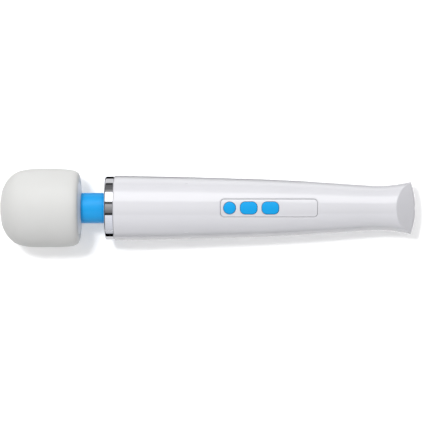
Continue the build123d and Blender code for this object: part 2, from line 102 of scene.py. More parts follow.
HALF_W, HALF_H = cubic(STATIONS[:, 0], STATIONS[:, 1]), cubic(STATIONS[:, 0], STATIONS[:, 2])


def form_normal(p, off=0.0):
    """Outward normal of the handle's form at points p (mm)."""
    x, y, z = p[:, 0], p[:, 1], p[:, 2]
    a, da = HALF_W(x); b, db = HALF_H(x); a = a + off; b = b + off
    n = np.stack([-(y * y * da / a ** 3 + z * z * db / b ** 3), y / a ** 2, z / b ** 2], 1)
    return n / np.linalg.norm(n, axis=1)[:, None]


def form_value(p, off=0.0):
    x, y, z = p[:, 0], p[:, 1], p[:, 2]
    a = HALF_W(x)[0] + off; b = HALF_H(x)[0] + off
    return (np.sqrt((y / a) ** 2 + (z / b) ** 2) - 1) * b


def form_top(x, y, off=0.0):
    """Height of the form's top side over (x, y)."""
    a = HALF_W(x)[0] + off; b = HALF_H(x)[0] + off
    return b * np.sqrt(np.clip(1 - (y / a) ** 2, 0, 1))


def ridge_rho(z):
    """Plan radius of the tail's ridged end at height z."""
    z = np.abs(z); t = RIDGE_R * math.sin(LEAN); c = TAIL_ARC - RIDGE_R
    return np.where(z < t, c + np.sqrt(np.clip(RIDGE_R ** 2 - z ** 2, 0, None)), c + RIDGE_R * math.cos(LEAN) - (z - t) * math.tan(LEAN))


def tail_x(y, z):
    return TAIL_C + np.sqrt(np.clip(ridge_rho(z) ** 2 - y ** 2, 0, None))


def tail_normal(p):
    e = 1e-3
    dy = (tail_x(p[:, 1] + e, p[:, 2]) - tail_x(p[:, 1] - e, p[:, 2])) / (2 * e)
    dz = (tail_x(p[:, 1], p[:, 2] + e) - tail_x(p[:, 1], p[:, 2] - e)) / (2 * e)
    n = np.stack([np.ones(len(p)), -dy, -dz], 1)
    return n / np.linalg.norm(n, axis=1)[:, None]


# ------------------------------------------------------------------- mesh helpers
def new_object(name, pts, faces, smooth_angle=30.0):
    me = bpy.data.meshes.new(name)
    me.from_pydata([tuple(v) for v in row(pts)], [], [tuple(int(i) for i in f) for f in faces])
    me.validate()
    me.update()
    ob = bpy.data.objects.new(name, me)
    bpy.context.scene.collection.objects.link(ob)
    me.shade_smooth()
    if smooth_angle is not None:
        me.set_sharp_from_angle(angle=math.radians(smooth_angle))
    return ob


def local(ob):
    co = np.zeros(len(ob.data.vertices) * 3); ob.data.vertices.foreach_get("co", co)
    return (co.reshape(-1, 3) - ORIGIN) @ M.T * 1000.0


def outward(pts, faces):
    """Turn a closed mesh's faces outwards, if they all point in."""
    vol = 0.0
    for f in faces:
        a = pts[f[0]]
        for i in range(1, len(f) - 1):
            vol += np.dot(a, np.cross(pts[f[i]], pts[f[i + 1]]))
    return faces if vol > 0 else [tuple(reversed(f)) for f in faces]


def revolved(profile, seg=192):
    """A closed (x, r) profile turned round the wand's axis. Points with r = 0 become poles."""
    prof = [tuple(p) for p in profile]
    pts, idx = [], []
    ang = np.arange(seg) * 2 * math.pi / seg
    for x, r in prof:
        if abs(r) < 1e-9:
            idx.append([len(pts)] * seg); pts.append((x, 0, 0))
        else:
            idx.append(list(range(len(pts), len(pts) + seg)))
            pts.extend(zip(np.full(seg, x), r * np.cos(ang), r * np.sin(ang)))
    faces = []
    for i in range(len(prof)):
        a, b = idx[i], idx[(i + 1) % len(prof)]
        if a[0] == a[1] and b[0] == b[1]:
            continue
        for j in range(seg):
            k = (j + 1) % seg
            f = [a[j], a[k], b[k], b[j]]
            f = [v for n, v in enumerate(f) if v not in f[:n]]
            if len(f) > 2:
                faces.append(tuple(f))
    pts = np.array(pts, float)
    return pts, outward(pts, faces)


def arc(cx, cy, r, a0, a1, n):
    """Points of an arc, angles in degrees."""
    t = np.radians(np.linspace(a0, a1, n))
    return list(zip(cx + r * np.cos(t), cy + r * np.sin(t)))


def rounded(points, radii, n=5):
    """A closed polygon with its corners rounded by the given radii."""
    out = []
    m = len(points)
    for i in range(m):
        p0, p1, p2 = (np.array(points[(i + k) % m], float) for k in (-1, 0, 1))
        r = radii[i]
        if r <= 0:
            out.append(tuple(p1)); continue
        u, v = p0 - p1, p2 - p1
        lu, lv = np.linalg.norm(u), np.linalg.norm(v); u, v = u / lu, v / lv
        half = math.acos(max(-1, min(1, float(u @ v)))) / 2
        if half > math.radians(89):
            out.append(tuple(p1)); continue
        d = min(r / math.tan(half), 0.49 * lu, 0.49 * lv); r = d * math.tan(half)
        c = p1 + (u + v) / np.linalg.norm(u + v) * (r / math.sin(half))
        s, e = p1 + u * d - c, p1 + v * d - c
        a0 = math.atan2(s[1], s[0]); a1 = math.atan2(e[1], e[0])
        while a1 - a0 > math.pi: a1 -= 2 * math.pi
        while a1 - a0 < -math.pi: a1 += 2 * math.pi
        for t in np.linspace(a0, a1, n):
            out.append((c[0] + r * math.cos(t), c[1] + r * math.sin(t)))
    return out


def densify(poly, step):
    """Split the long sides of an open polyline."""
    out = [poly[0]]
    for a, b in zip(poly, poly[1:]):
        n = max(1, int(math.ceil(math.dist(a, b) / step)))
        for k in range(1, n + 1):
            out.append((a[0] + (b[0] - a[0]) * k / n, a[1] + (b[1] - a[1]) * k / n))
    return out


def evaluated(ob):
    dg = bpy.context.evaluated_depsgraph_get()
    return bpy.data.meshes.new_from_object(ob.evaluated_get(dg))


def cut(ob, cutters, op="DIFFERENCE"):
    for c in cutters:
        m = ob.modifiers.new("b", "BOOLEAN"); m.operation = op; m.object = c; m.solver = "MANIFOLD"
    bpy.context.view_layer.update()
    me = evaluated(ob); ob.modifiers.clear()
    old = ob.data; ob.data = me; bpy.data.meshes.remove(old)
    me.name = ob.name
    for c in cutters:
        d = c.data; bpy.data.objects.remove(c); bpy.data.meshes.remove(d)
    return ob


def smart_normals(ob, angle, rules):
    """Smooth shading with sharp edges, and exact normals on the surfaces that rules name: each is (distance function, normal function)."""
    me = ob.data
    me.shade_smooth()
    me.set_sharp_from_angle(angle=math.radians(angle))
    p = local(ob)
    nl = len(me.loops)
    cn = np.zeros(nl * 3); me.corner_normals.foreach_get("vector", cn); cn = cn.reshape(-1, 3)
    vi = np.zeros(nl, int); me.loops.foreach_get("vertex_index", vi)
    nf = len(me.polygons)
    ls = np.zeros(nf, int); lt = np.zeros(nf, int); fn = np.zeros(nf * 3)
    me.polygons.foreach_get("loop_start", ls); me.polygons.foreach_get("loop_total", lt); me.polygons.foreach_get("normal", fn)
    fn = fn.reshape(-1, 3)
    face_of = np.repeat(np.arange(nf), lt)
    for dist, normal in rules:
        on = np.abs(dist(p)) < 0.02
        n = row_dir(normal(p))
        bad = np.zeros(nf, int)
        np.add.at(bad, face_of, ~on[vi])
        agree = np.einsum("ij,ij->i", fn[face_of], n[vi]) > 0.96
        np.add.at(bad, face_of, ~agree)
        use = (bad[face_of] == 0)
        cn[use] = n[vi][use]
    cn /= np.linalg.norm(cn, axis=1)[:, None]
    me.normals_split_custom_set([tuple(v) for v in cn])
    return ob


def finish_piece(ob, mat, body=None, replaces=(), blend=None):
    ob.data.materials.clear(); ob.data.materials.append(mat)
    if blend:
        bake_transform(ob)
    else:
        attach(ob, body)
    if replaces:
        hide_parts(*replaces)
    return ob


# ---------------------------------------------------------------------- materials
def mat_base(name, color, rough, metallic=0.0, spec=0.5, ior=1.5):
    m = bpy.data.materials.new(name); m.use_nodes = True
    nt = m.node_tree; b = nt.nodes["Principled BSDF"]
    b.inputs["Base Color"].default_value = (*color, 1)
    b.inputs["Roughness"].default_value = rough
    b.inputs["Metallic"].default_value = metallic
    b.inputs["IOR"].default_value = ior
    return m, nt, b


def object_coords(nt, scale=(1, 1, 1)):
    tc = nt.nodes.new("ShaderNodeTexCoord"); mp = nt.nodes.new("ShaderNodeMapping")
    nt.links.new(tc.outputs["Object"], mp.inputs["Vector"])
    mp.inputs["Scale"].default_value = scale
    return mp.outputs["Vector"]


def noise(nt, vec, scale, detail=3.0, rough=0.5):
    n = nt.nodes.new("ShaderNodeTexNoise"); n.inputs["Scale"].default_value = scale
    n.inputs["Detail"].default_value = detail; n.inputs["Roughness"].default_value = rough
    nt.links.new(vec, n.inputs["Vector"])
    return n.outputs["Fac"]


def ramp(nt, fac, stops):
    r = nt.nodes.new("ShaderNodeValToRGB"); nt.links.new(fac, r.inputs["Fac"])
    el = r.color_ramp.elements
    while len(el) < len(stops): el.new(0.5)
    for e, (p, c) in zip(el, stops):
        e.position = p; e.color = (*c, 1) if len(c) == 3 else c
    return r.outputs["Color"]


def span(nt, fac, lo, hi, a=0.3, b=0.7):
    r = nt.nodes.new("ShaderNodeMapRange"); nt.links.new(fac, r.inputs["Value"])
    r.inputs["From Min"].default_value = a; r.inputs["From Max"].default_value = b
    r.inputs["To Min"].default_value = lo; r.inputs["To Max"].default_value = hi
    return r.outputs["Result"]


def bump(nt, b, height, strength, distance, chain=None):
    n = nt.nodes.new("ShaderNodeBump"); n.inputs["Strength"].default_value = strength
    n.inputs["Distance"].default_value = distance
    nt.links.new(height, n.inputs["Height"])
    if chain is not None:
        nt.links.new(chain, n.inputs["Normal"])
    nt.links.new(n.outputs["Normal"], b.inputs["Normal"])
    return n.outputs["Normal"]


def plastic(name, color, rough, spread=0.03, vary=0.015, bump_um=0.0, grain=2500.0, coat=0.0, coat_rough=0.03):
    """Moulded plastic: faint flow variation in colour, handling marks in the gloss, a fine surface texture."""
    m, nt, b = mat_base(name, color, rough)
    v = object_coords(nt)
    c = np.array(color)
    nt.links.new(ramp(nt, noise(nt, v, 22.0, 2.0), [(0.3, tuple(np.clip(c * (1 - vary), 0, 1))), (0.7, tuple(np.clip(c * (1 + vary), 0, 1)))]), b.inputs["Base Color"])
    nt.links.new(span(nt, noise(nt, v, 90.0, 4.0, 0.6), max(0.02, rough - spread), rough + spread), b.inputs["Roughness"])
    if bump_um > 0:
        bump(nt, b, noise(nt, v, grain, 2.0), 1.0, bump_um * 1e-6)
    if coat:
        b.inputs["Coat Weight"].default_value = coat
        b.inputs["Coat Roughness"].default_value = coat_rough
    return m


def silicone(name):
    m, nt, b = mat_base(name, (0.66, 0.66, 0.645), 0.55)
    v = object_coords(nt)
    nt.links.new(ramp(nt, noise(nt, v, 30.0, 3.0), [(0.3, (0.650, 0.650, 0.635)), (0.7, (0.672, 0.672, 0.660))]), b.inputs["Base Color"])
    nt.links.new(span(nt, noise(nt, v, 160.0, 4.0, 0.6), 0.50, 0.62), b.inputs["Roughness"])
    first = bump(nt, b, noise(nt, v, 1500.0, 3.0, 0.6), 0.6, 0.00004)
    bump(nt, b, noise(nt, v, 5200.0, 2.0, 0.5), 0.5, 0.000015, first)
    b.inputs["Sheen Weight"].default_value = 0.06
    b.inputs["Sheen Roughness"].default_value = 0.5
    b.inputs["Subsurface Weight"].default_value = 0.0
    return m


def rubber(name, color, rough, vary=0.03, bump_um=25):
    m, nt, b = mat_base(name, color, rough)
    v = object_coords(nt); c = np.array(color)
    nt.links.new(ramp(nt, noise(nt, v, 40.0, 3.0), [(0.3, tuple(np.clip(c * (1 - vary), 0, 1))), (0.7, tuple(np.clip(c * (1 + vary), 0, 1)))]), b.inputs["Base Color"])
    nt.links.new(span(nt, noise(nt, v, 200.0, 4.0, 0.6), rough - 0.05, rough + 0.06), b.inputs["Roughness"])
    bump(nt, b, noise(nt, v, 2600.0, 2.0, 0.6), 0.6, bump_um * 1e-6)
    return m


def metal(name, color, rough, scale=(1, 1, 1), streak=300.0, spread=0.05, bump_um=0.0):
    m, nt, b = mat_base(name, color, rough, metallic=1.0)
    v = object_coords(nt, scale); c = np.array(color)
    nt.links.new(ramp(nt, noise(nt, v, streak * 0.2, 3.0), [(0.3, tuple(c * 0.96)), (0.7, tuple(np.clip(c * 1.03, 0, 1)))]), b.inputs["Base Color"])
    nt.links.new(span(nt, noise(nt, v, streak, 4.0, 0.6), max(0.02, rough - spread), rough + spread), b.inputs["Roughness"])
    if bump_um:
        bump(nt, b, noise(nt, v, streak, 3.0), 0.7, bump_um * 1e-6)
    return m


WHITE = plastic("gloss_white_plastic", (0.715, 0.712, 0.745), 0.22, 0.04, 0.008, 1.2, 700.0, 0.8, 0.06)
PANEL = plastic("panel_white_plastic", (0.715, 0.712, 0.745), 0.24, 0.04, 0.008, 1.2, 900.0, 0.8, 0.07)
SATIN = plastic("satin_white_plastic", (0.80, 0.80, 0.81), 0.5, 0.05, 0.01, 4.0, 1800.0)
SILICONE = silicone("white_silicone_skin")
BLUE = rubber("blue_rubber_sleeve", (0.0, 0.35, 0.80), 0.32, 0.03, 12)
BLUE.node_tree.nodes["Principled BSDF"].inputs["Specular IOR Level"].default_value = 0.4
BUTTON = plastic("blue_button_plastic", (0.0, 0.36, 0.80), 0.42, 0.04, 0.02, 6.0, 2600.0)
BUTTON.node_tree.nodes["Principled BSDF"].inputs["Specular IOR Level"].default_value = 0.22
CHROME = metal("chrome_plate", (0.86, 0.86, 0.90), 0.045, streak=120.0, spread=0.015)
BLACK = plastic("black_moulding", (0.018, 0.018, 0.02), 0.42, 0.06, 0.1, 12.0, 3000.0)
STEEL = metal("machined_steel", (0.58, 0.58, 0.60), 0.28, (1, 1, 8), 500.0, 0.07, 4)
GROUND = metal("ground_steel", (0.66, 0.66, 0.68), 0.12, (1, 1, 1), 400.0, 0.04, 1)
SINTERED = metal("sintered_steel", (0.36, 0.36, 0.38), 0.5, (1, 1, 1), 2500.0, 0.1, 15)
NYLON = plastic("natural_nylon", (0.70, 0.69, 0.64), 0.5, 0.06, 0.03, 12.0, 2200.0)
DARK_RUBBER = rubber("black_rubber_moulding", (0.02, 0.02, 0.02), 0.65, 0.15, 40)
BOARD = plastic("board_solder_mask", (0.012, 0.13, 0.05), 0.35, 0.08, 0.25, 20.0, 900.0)
LAMP = plastic("frosted_lamp_plastic", (0.75, 0.80, 0.85), 0.4, 0.05, 0.03, 8.0, 2200.0)
CELL = metal("nickel_plated_can", (0.62, 0.62, 0.62), 0.22, (8, 1, 1), 300.0, 0.06, 2)
WRAP = plastic("shrink_wrap_film", (0.02, 0.20, 0.13), 0.3, 0.08, 0.08, 10.0, 300.0)
ZINC = metal("zinc_plated_can", (0.55, 0.55, 0.57), 0.33, (3, 1, 1), 260.0, 0.1, 3)
BRONZE = metal("sintered_bronze", (0.55, 0.36, 0.16), 0.42, (1, 1, 1), 1800.0, 0.08, 8)
FERRITE = plastic("ferrite_block", (0.055, 0.055, 0.06), 0.6, 0.1, 0.2, 25.0, 1500.0)
LAMINATE = metal("laminated_core", (0.34, 0.33, 0.33), 0.45, (40, 1, 1), 60.0, 0.12, 20)
COPPER = metal("turned_copper", (0.74, 0.36, 0.22), 0.22, (1, 12, 1), 300.0, 0.06, 3)
PIN = metal("plated_pin", (0.75, 0.66, 0.42), 0.2, (1, 1, 1), 600.0, 0.05, 1)
LEAD = rubber("red_lead_insulation", (0.36, 0.012, 0.012), 0.4, 0.08, 20)

BY_SLOT = {
    "white_silicone": SILICONE, "white_shell": WHITE, "white_panel": PANEL, "blue_rubber": BLUE, "blue_button": BUTTON,
    "chrome_trim": CHROME, "inner_nylon": NYLON, "steel": STEEL, "bearing_steel": GROUND, "weight_steel": SINTERED,
    "black_rubber": DARK_RUBBER, "black_plastic": BLACK, "board_green": BOARD, "lamp_clear": LAMP, "cell_metal": CELL,
    "wrap_green": WRAP, "motor_steel": ZINC, "bronze": BRONZE, "magnet_dark": FERRITE, "armature_steel": LAMINATE,
    "copper": COPPER, "pin_metal": PIN, "lead_red": LEAD}
for sp in frame["record"]["subparts"]:
    ob = nodes[sp["node"]]
    m = BY_SLOT[sp["material_slot"]]
    if ob.data.materials:
        for s in range(len(ob.data.materials)):
            ob.data.materials[s] = m
    else:
        ob.data.materials.append(m)

# --------------------------------------------------------------------------- head
HEAD_OUT = [(0.0, 0.0), (0.18, 4.95), (0.45, 8.5), (1.05, 12.05), (1.95, 15.6), (3.55, 19.15), (5.75, 22.6), (8.60, 25.65),
            (12.0, 28.05), (16.5, 29.8), (22.0, 30.85), (28.0, 31.20)]


def through(points, n, start=None, end=None):
    """A smooth curve through points, by a spline in chord length, with given end directions."""
    p = np.array(points, float)
    t = np.concatenate([[0], np.cumsum(np.linalg.norm(np.diff(p, axis=0), axis=1))])
    m = len(t); h = np.diff(t); out = []
    for k in range(2):
        y = p[:, k]; a = np.zeros((m, m)); r = np.zeros(m)
        for i in range(1, m - 1):
            a[i, i - 1], a[i, i], a[i, i + 1] = h[i - 1], 2 * (h[i - 1] + h[i]), h[i]
            r[i] = 6 * ((y[i + 1] - y[i]) / h[i] - (y[i] - y[i - 1]) / h[i - 1])
        if start is None: a[0, 0] = 1
        else:
            a[0, 0], a[0, 1] = 2 * h[0], h[0]; r[0] = 6 * ((y[1] - y[0]) / h[0] - start[k])
        if end is None: a[-1, -1] = 1
        else:
            a[-1, -1], a[-1, -2] = 2 * h[-1], h[-1]; r[-1] = 6 * (end[k] - (y[-1] - y[-2]) / h[-1])
        mm = np.linalg.solve(a, r)
        s = np.linspace(0, t[-1], n); q = np.clip(np.searchsorted(t, s) - 1, 0, m - 2)
        d0, d1 = s - t[q], t[q + 1] - s
        out.append((mm[q] * d1 ** 3 + mm[q + 1] * d0 ** 3) / (6 * h[q]) + (y[q] / h[q] - mm[q] * h[q] / 6) * d1 + (y[q + 1] / h[q] - mm[q + 1] * h[q] / 6) * d0)
    return list(zip(out[0], out[1]))


prof = through(HEAD_OUT, 72, (0, 1), (1, 0))
prof[0] = (0.0, 0.0)
prof += densify([(28.0, 31.20), (42.0, 31.20)], 1.4)[1:]
prof += through([(42.0, 31.20), (50.0, 30.98), (54.5, 30.62), (58.0, 30.0), (60.2, 29.1), (61.7, 27.8), (62.55, 26.2), (62.9, 24.3)], 56, (1, 0), (0.05, -1))[1:]
prof += [(62.87, 23.8), (62.77, 23.3), (62.6, 22.7), (62.25, 22.05), (62.0, 21.65), (61.75, 21.42), (61.5, 21.33)]
prof += [(60.25, 21.33), (60.25, 27.2), (28.0, 27.28)]
prof += list(reversed(through([(3.6, 0.0), (3.9, 6.0), (5.2, 12.5), (8.6, 19.0), (13.5, 23.6), (20.0, 26.4), (28.0, 27.28)], 30, (0, 1), (1, 0))))[1:]
prof[-1] = (3.6, 0.0)
pts, faces = revolved(prof, 224)
head = new_object("head_cover_silicone", pts, faces, 40)
finish_piece(head, SILICONE, "head", ["head_cover"])

prof = [(62.0, 21.0), (60.1, 21.0), (60.1, 24.7), (57.1, 24.7), (57.1, 14.0), (50.0, 14.0), (50.0, 11.03), (57.45, 11.03), (57.45, 7.6),
        (66.6, 7.6), (66.6, 9.6), (64.2, 9.6), (64.2, 12.6)]
prof += through([(64.2, 12.6), (63.6, 16.8), (62.6, 20.4)], 16)[1:]
prof += arc(62.0, 20.4, 0.6, 10, 80, 5)
pts, faces = revolved(prof, 192)
finish_piece(new_object("head_rear_plate_moulding", pts, faces, 35), SATIN, "head", ["head_rear_plate"])

# --------------------------------------------------------------------------- neck
R = 12.2


def sleeve(x0, x1, ends, grooves, name, blend, node):
    xs = sorted(set(np.round(np.concatenate([np.linspace(x0, x1, 44), *[np.linspace(g - 0.5, g + 0.5, 9) for g, _ in grooves]]), 4)))
    outer = []
    for x in xs:
        r = R
        for g, d in grooves:
            u = (x - g) / 0.42
            if abs(u) < 1:
                r -= d * (0.5 + 0.5 * math.cos(math.pi * u))
        for e, w in ends:
            u = abs(x - e) / w
            if u < 1:
                r -= w * (1 - math.sqrt(max(0.0, 1 - (1 - u) ** 2)))
        outer.append((x, r))
    prof = outer + [(x1, 9.9)] + [(x, 9.9) for x in reversed(xs[1:-1:4])] + [(x0, 9.9)]
    pts, faces = revolved(prof, 144)
    ob = new_object(name, pts, faces, 50)
    finish_piece(ob, BLUE, replaces=[node], blend=blend)


sleeve(64.25, 72.8, [(64.25, 0.4)], [(65.45, 0.26)], "neck_sleeve_front_rubber", ("neck_middle", "head", (72.2, 0, 0), (65.2, 0, 0)), "neck_sleeve_front")
sleeve(72.8, 85.8, [], [(81.6, 0.24)], "neck_sleeve_rear_rubber", ("handle", "neck_middle", (83.6, 0, 0), (73.4, 0, 0)), "neck_sleeve_rear")

# --------------------------------------------------------------- ring, nose plate
prof = rounded([(83.3, 21.0), (83.3, 25.1), (90.45, 25.1), (90.45, 22.6), (84.1, 22.6), (84.1, 21.0)], [0.15, 1.25, 0.4, 0.1, 0.0, 0.1], 10)
pts, faces = revolved(prof, 288)
finish_piece(new_object("chrome_ring_plated", pts, faces, 35), CHROME, "handle", ["chrome_ring"])

prof = rounded([(80.1, 8.2), (80.1, 9.6), (86.1, 9.6), (86.1, 12.5), (84.15, 12.5), (84.15, 22.5), (85.55, 22.5), (85.55, 14.5), (87.6, 14.5), (87.6, 8.2)],
               [0.3, 0.3, 0, 0, 0.4, 0.2, 0.2, 0, 0.3, 0.3], 5)
pts, faces = revolved(prof, 192)
finish_piece(new_object("nose_plate_moulding", pts, faces, 35), WHITE, "handle", ["nose_plate"])

# ------------------------------------------------------------------------- shells
GROOVE = 0.16      # parting-line chamfer of each shell
NT = 104           # steps round each half


def edge_point(cy, cz):
    """Where the handle's form meets the ridged end, for a direction (cy, cz) round the section."""
    x = 322.0
    for _ in range(60):
        a = HALF_W(x)[0]; b = HALF_H(x)[0]
        x = 0.5 * x + 0.5 * float(tail_x(np.array(a * cy), np.array(b * cz)))
    return x


def half_form(sign):
    """Closed half of the handle's outer form, with a small radius at the front edge and along the tail's edge, and a chamfer at the parting line."""
    b0 = 22.0
    th = np.concatenate([[0.0, GROOVE / b0], np.linspace(0.02, math.pi - 0.02, NT - 3), [math.pi - GROOVE / b0, math.pi]])
    cy, cz = np.cos(th), np.sin(th)
    xe = np.array([edge_point(c, s) for c, s in zip(cy, cz)])
    rings = []
    # front edge, radius 1.1
    for t in np.linspace(0, math.pi / 2, 8):
        off = -1.1 * (1 - math.sin(t)); x = FRONT + 1.1 * (1 - math.cos(t))
        a = HALF_W(x)[0] + off; b = HALF_H(x)[0] + off
        rings.append(np.stack([np.full(len(th), x), a * cy, b * cz], 1))
    first = FRONT + 1.1
    d_edge = 0.55
    s = np.linspace(0, 1, 168)[1:]
    for t in s:
        x = first + (xe - d_edge - first) * t
        a, b = HALF_W(x)[0], HALF_H(x)[0]
        rings.append(np.stack([x, a * cy, b * cz], 1))
    corner = np.stack([xe, HALF_W(xe)[0] * cy, HALF_H(xe)[0] * cz], 1)
    ln = np.linalg.norm(corner[:, 1:], axis=1)
    f = 1 - d_edge / ln
    inner = np.stack([tail_x(corner[:, 1] * f, corner[:, 2] * f), corner[:, 1] * f, corner[:, 2] * f], 1)
    start = rings[-1]
    for t in (0.2, 0.4, 0.6, 0.8, 1.0):
        rings.append(start * (1 - t) ** 2 + 2 * corner * t * (1 - t) + inner * t ** 2)
    tt = np.concatenate([np.linspace(1, 0.30, 34)[1:], np.linspace(0.30, 0.02, 8)[1:]])
    for t in tt:
        y, z = inner[:, 1] * t, inner[:, 2] * t
        rings.append(np.stack([tail_x(y, z), y, z], 1))
    g = len(rings); k = len(th)
    pts = np.concatenate(rings)
    pts = pts.reshape(g, k, 3)
    # parting chamfer
    for j in (0, k - 1):
        p = pts[:, j].copy()
        n = np.zeros_like(p)
        side = 1.0 if j == 0 else -1.0
        n[:, 1] = -side
        cap = np.arange(g) > g - len(tt) - 3
        n[cap] = (-1, 0, 0)
        pts[:, j] = p + n * GROOVE
    pts = pts.reshape(-1, 3)
    pole = np.array([[LENGTH, 0, 0]])
    pts = np.concatenate([pts, pole]); P = len(pts) - 1
    pts[:, 2] *= sign
    faces = []
    for i in range(g - 1):
        for j in range(k - 1):
            a = i * k + j
            faces.append((a, a + 1, a + k + 1, a + k))
    last = (g - 1) * k
    for j in range(k - 1):
        faces.append((last + j, last + j + 1, P))
    faces.append(tuple(range(k - 1, -1, -1)))                          # front
    faces.append(tuple([i * k for i in range(g)] + [P] + [i * k + k - 1 for i in range(g - 1, -1, -1)]))   # parting face
    faces = outward(pts, faces)
    return pts, faces


def closed_tube(rings):
    """Rings of equal length joined and capped."""
    g, k = len(rings), len(rings[0])
    pts = np.concatenate(rings)
    faces = [(i * k + j, i * k + (j + 1) % k, (i + 1) * k + (j + 1) % k, (i + 1) * k + j) for i in range(g - 1) for j in range(k)]
    faces += [tuple(range(k - 1, -1, -1)), tuple(range((g - 1) * k, g * k))]
    return pts, outward(pts, faces)


def cavity_mesh():
    th = np.arange(96) * 2 * math.pi / 96
    rings = []
    for x in np.linspace(85.0, 312.0, 90):
        x_ = max(x, 88.7)
        a, b = HALF_W(x_)[0] - WALL, HALF_H(x_)[0] - WALL
        rings.append(np.stack([np.full(96, x), a * np.cos(th), b * np.sin(th)], 1))
    return new_object("cavity", *closed_tube(rings), None)


def cylinder_mesh(p0, axis, r, length, seg=48, name="cyl"):
    axis = np.array(axis, float); axis /= np.linalg.norm(axis)
    u = np.cross(axis, (0, 1, 0)) if abs(axis[1]) < 0.9 else np.cross(axis, (1, 0, 0)); u /= np.linalg.norm(u); w = np.cross(axis, u)
    t = np.arange(seg) * 2 * math.pi / seg
    c = np.outer(np.cos(t), u) * r + np.outer(np.sin(t), w) * r
    p0 = np.array(p0, float)
    return new_object(name, *closed_tube([p0 + c, p0 + c + axis * length]), None)


def box_mesh(lo, hi, name="box"):
    x0, y0, z0 = lo; x1, y1, z1 = hi
    ring = lambda x: np.array([(x, y0, z0), (x, y1, z0), (x, y1, z1), (x, y0, z1)], float)
    return new_object(name, *closed_tube([ring(x0), ring(x1)]), None)


def rrect(cx, cy, length, width, r, n=12, step=0.8):
    """Outline of a rounded rectangle, counter-clockwise, evenly stepped."""
    hx, hy = length / 2, width / 2
    r = min(r, hx - 1e-4, hy - 1e-4)
    corners = []
    for sx, sy, a0 in ((1, 1, 0), (-1, 1, 90), (-1, -1, 180), (1, -1, 270)):
        corners.append(arc(cx + sx * (hx - r), cy + sy * (hy - r), r, a0, a0 + 90, n))
    out = []
    for i in range(4):
        c = corners[i]; nxt = corners[(i + 1) % 4][0]
        out += c
        m = max(1, int(round(math.dist(c[-1], nxt) / step)))
        for q in range(1, m):
            out.append((c[-1][0] + (nxt[0] - c[-1][0]) * q / m, c[-1][1] + (nxt[1] - c[-1][1]) * q / m))
    return np.array(out)


def grow(poly, d):
    """Outline moved outwards by d (inwards if negative), the outline being counter-clockwise and smooth."""
    nx = np.roll(poly, -1, 0) - np.roll(poly, 1, 0)
    n = np.stack([nx[:, 1], -nx[:, 0]], 1); n /= np.linalg.norm(n, axis=1)[:, None]
    return poly + n * d


def window_cutter(outline):
    rings = []
    for off, dz, base in ((0, None, 8.0), (0, -0.50, None), (0.06, -0.33, None), (0.20, -0.22, None), (0.42, -0.13, None), (0.70, -0.05, None), (0.95, -0.008, None), (1.15, 0.03, None), (1.3, 2.0, None)):
        o = grow(outline, off)
        z = np.full(len(o), base) if base else form_top(o[:, 0], o[:, 1]) + dz
        rings.append(np.stack([o[:, 0], o[:, 1], z], 1))
    return new_object("window", *closed_tube(rings), None)


SCREWS = [(148.0, 16.0), (148.0, -16.0), (291.0, 9.5), (291.0, -9.5)]
PX, PL, PW, PC = 212.9, 76.2, 13.9, 3.0
form_rule = (form_value, form_normal)
tail_rule = (lambda p: np.where(np.hypot(p[:, 1], p[:, 2]) < 30, p[:, 0] - tail_x(p[:, 1], p[:, 2]), 9.0), tail_normal)


def make_shell(sign, name, node):
    pts, faces = half_form(sign)
    ob = new_object(name, pts, faces, None)
    cutters = [cavity_mesh(), cylinder_mesh((308, 0, 0), (1, 0, 0), 5.0, 30, 72), box_mesh((308, -6.3, -5.8), (321, 6.3, 5.8))]
    cut(ob, cutters)
    # screw posts and the collar that carries the ring
    posts = []
    for x, y in SCREWS:
        top = float(form_top(np.array(x), np.array(abs(y) + 2.0), -0.9))
        posts.append(cylinder_mesh((x, y, sign * 0.012), (0, 0, sign), 3.6, top, 40))
    cut(ob, posts, "UNION")
    th = np.linspace(0, math.pi, 97)
    loops = []
    for x, r0, r1 in ((85.7, 20.8, 22.5), (FRONT + 0.001, 20.8, 22.5), (FRONT + 0.002, 20.8, 24.6), (92.5, 20.8, 24.6)):
        o = np.stack([np.full(97, x), r1 * np.cos(th), np.maximum(r1 * np.sin(th), 0.012) * sign], 1)
        i = np.stack([np.full(97, x), r0 * np.cos(th), np.maximum(r0 * np.sin(th), 0.012) * sign], 1)[::-1]
        loops.append(np.concatenate([o, i]))
    cut(ob, [new_object("collar", *closed_tube(loops), None)], "UNION")
    holes = [cylinder_mesh((x, y, -12), (0, 0, 1), 1.3, 24, 24) for x, y in SCREWS]
    if sign < 0:
        holes += [cylinder_mesh((x, y, -10.0), (0, 0, -1), 2.85, 30, 64) for x, y in SCREWS]
    else:
        holes.append(window_cutter(rrect(PX, 0, PL + 0.4, PW + 0.4, PC + 0.2)))
    cut(ob, holes)
    smart_normals(ob, 32, [form_rule, tail_rule])
    finish_piece(ob, WHITE, "handle", [node])
    return ob


make_shell(1, "upper_shell_moulding", "upper_shell")
make_shell(-1, "lower_shell_moulding", "lower_shell")


